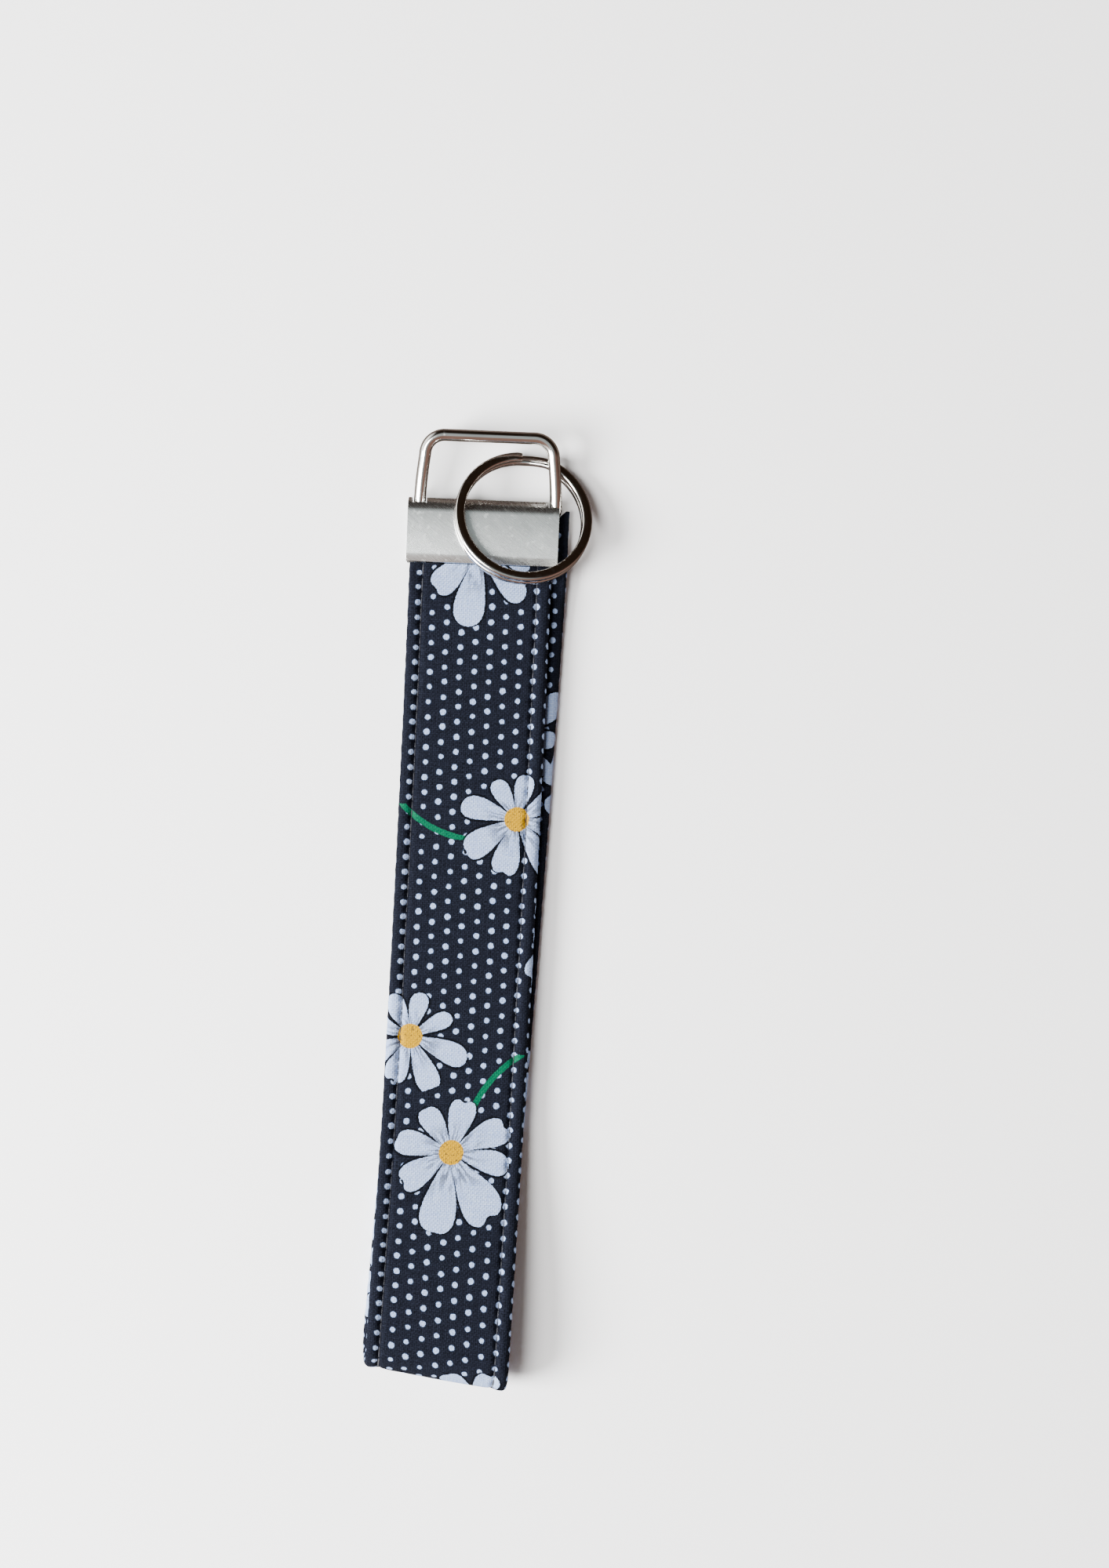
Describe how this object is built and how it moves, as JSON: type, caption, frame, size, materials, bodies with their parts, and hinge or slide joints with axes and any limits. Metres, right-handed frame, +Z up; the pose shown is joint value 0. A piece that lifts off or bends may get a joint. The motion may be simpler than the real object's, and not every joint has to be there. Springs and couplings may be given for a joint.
{
  "type": "wristlet keychain",
  "caption": "Fabric wrist strap folded into a loop, crimped in a metal clamp with a wire bail and a split ring.",
  "frame": {"origin": "on the surface the keychain lies on, under the middle of its bounding box", "axes": "+X across the strap, +Y along the strap towards the clamp and bail, +Z up from the surface, out of the front of the clamp"},
  "size_m": [0.034, 0.166, 0.0106],
  "materials": {
    "nickel_steel": "satin nickel plate with fine brush lines",
    "polished_nickel": "polished nickel plate",
    "nickel_ring_wire": "polished nickel plate on tempered wire",
    "printed_cotton": "plain-weave cotton, navy black with pale dots and white daisies",
    "interfacing": "white fusible fleece",
    "sewing_thread": "black spun polyester thread"
  },
  "bodies": {
    "clamp_head": {"clamp": "nickel_steel", "sleeve_back_tail": "printed_cotton", "sleeve_front_tail": "printed_cotton", "interfacing_back_tail": "interfacing", "interfacing_front_tail": "interfacing", "end_stitch": "sewing_thread"},
    "bail": {"bail": "polished_nickel"},
    "ring": {"split_ring": "nickel_ring_wire"},
    "back_upper": {"sleeve_back_upper": "printed_cotton", "interfacing_back_upper": "interfacing", "topstitch_left_back_upper": "sewing_thread", "topstitch_right_back_upper": "sewing_thread"},
    "back_lower": {"sleeve_back_lower": "printed_cotton", "interfacing_back_lower": "interfacing", "topstitch_left_back_lower": "sewing_thread", "topstitch_right_back_lower": "sewing_thread"},
    "fold": {"sleeve_fold": "printed_cotton", "interfacing_fold": "interfacing", "topstitch_left_fold": "sewing_thread", "topstitch_right_fold": "sewing_thread"},
    "front_lower": {"sleeve_front_lower": "printed_cotton", "interfacing_front_lower": "interfacing", "topstitch_left_front_lower": "sewing_thread", "topstitch_right_front_lower": "sewing_thread"},
    "front_upper": {"sleeve_front_upper": "printed_cotton", "interfacing_front_upper": "interfacing", "topstitch_left_front_upper": "sewing_thread", "topstitch_right_front_upper": "sewing_thread"}
  },
  "joints": [
    {"name": "loop_open", "type": "hinge", "parent": "clamp_head", "child": "back_upper", "pos_m": [-0.00187, 0.05997, 0.00218], "axis": [1, 0, 0], "range_deg": [0, 32]},
    {"name": "back_bend", "type": "hinge", "parent": "back_upper", "child": "back_lower", "pos_m": [-0.00187, -0.01073, 0.00217], "axis": [1, 0, 0], "range_deg": [-62.72, 0]},
    {"name": "fold_back", "type": "hinge", "parent": "back_lower", "child": "fold", "pos_m": [-0.00187, -0.07693, 0.00002], "axis": [1, 0, 0], "range_deg": [0, 50.56]},
    {"name": "fold_front", "type": "hinge", "parent": "fold", "child": "front_lower", "pos_m": [-0.00187, -0.07693, 0.00902], "axis": [1, 0, 0], "range_deg": [0, 14.08]},
    {"name": "front_bend", "type": "hinge", "parent": "front_lower", "child": "front_upper", "pos_m": [-0.00187, -0.01073, 0.00237], "axis": [1, 0, 0], "range_deg": [-62.72, 0]},
    {"name": "bail_swing", "type": "hinge", "parent": "clamp_head", "child": "bail", "pos_m": [-0.00187, 0.06857, 0.0027], "axis": [1, 0, 0], "range_deg": [-60, 0]},
    {"name": "ring_tip", "type": "hinge", "parent": "bail", "child": "ring", "pos_m": [0.00991, 0.07737, 0.0015], "axis": [-1, 0, 0], "range_deg": [0, 70]}
  ],
  "couplings": [
    {"joint": "back_bend", "follows": "loop_open", "ratio": -1.96},
    {"joint": "fold_back", "follows": "loop_open", "ratio": 1.58},
    {"joint": "fold_front", "follows": "loop_open", "ratio": 0.44},
    {"joint": "front_bend", "follows": "loop_open", "ratio": -1.96}
  ]
}
